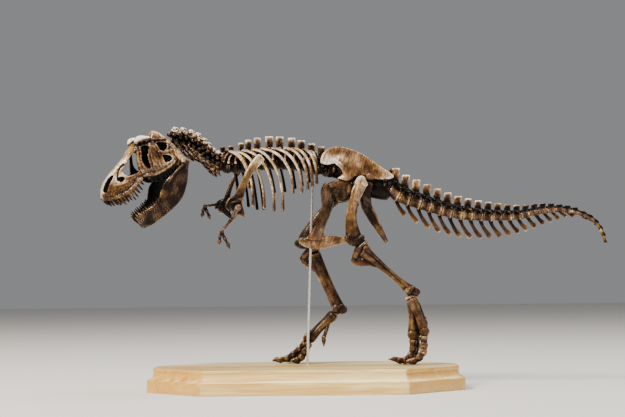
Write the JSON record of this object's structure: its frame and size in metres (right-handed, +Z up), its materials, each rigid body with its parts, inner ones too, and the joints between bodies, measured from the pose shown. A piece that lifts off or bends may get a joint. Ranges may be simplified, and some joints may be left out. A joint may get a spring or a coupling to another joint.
{
  "type": "tabletop dinosaur skeleton model",
  "caption": "Desk-size cast model of a striding tyrannosaur skeleton, jaws open, held by a thin steel rod over a clipped-corner wood board with a coved edge.",
  "frame": {"origin": "centre of the board's underside", "axes": "+X from the head towards the tail along the board's length, +Y towards the animal's right side, +Z up"},
  "size_m": [0.5015, 0.164, 0.2606],
  "materials": {
    "bronzed_resin": "cast resin, brown with rubbed highlights, satin",
    "varnished_pine": "pale softwood under satin varnish",
    "bright_steel": "bright drawn wire"
  },
  "bodies": {
    "root": {"base_board": "varnished_pine", "femur_left": "bronzed_resin", "femur_right": "bronzed_resin", "fibula_left": "bronzed_resin", "fibula_right": "bronzed_resin", "forearm_left": "bronzed_resin", "forearm_right": "bronzed_resin", "hand_left": "bronzed_resin", "hand_right": "bronzed_resin", "humerus_left": "bronzed_resin", "humerus_right": "bronzed_resin", "ilium_left": "bronzed_resin", "ilium_right": "bronzed_resin", "ischium": "bronzed_resin", "lower_jaw": "bronzed_resin", "metatarsus_left": "bronzed_resin", "metatarsus_right": "bronzed_resin", "neck": "bronzed_resin", "pubis": "bronzed_resin", "ribcage_left": "bronzed_resin", "ribcage_right": "bronzed_resin", "sacrum": "bronzed_resin", "shoulder_blade_left": "bronzed_resin", "shoulder_blade_right": "bronzed_resin", "skull": "bronzed_resin", "support_rod": "bright_steel", "tail_1": "bronzed_resin", "tail_2": "bronzed_resin", "tail_3": "bronzed_resin", "tail_4": "bronzed_resin", "tail_5": "bronzed_resin", "tibia_left": "bronzed_resin", "tibia_right": "bronzed_resin", "toe_left_inner": "bronzed_resin", "toe_left_middle": "bronzed_resin", "toe_left_outer": "bronzed_resin", "toe_right_inner": "bronzed_resin", "toe_right_middle": "bronzed_resin", "toe_right_outer": "bronzed_resin"}
  },
  "joints": []
}
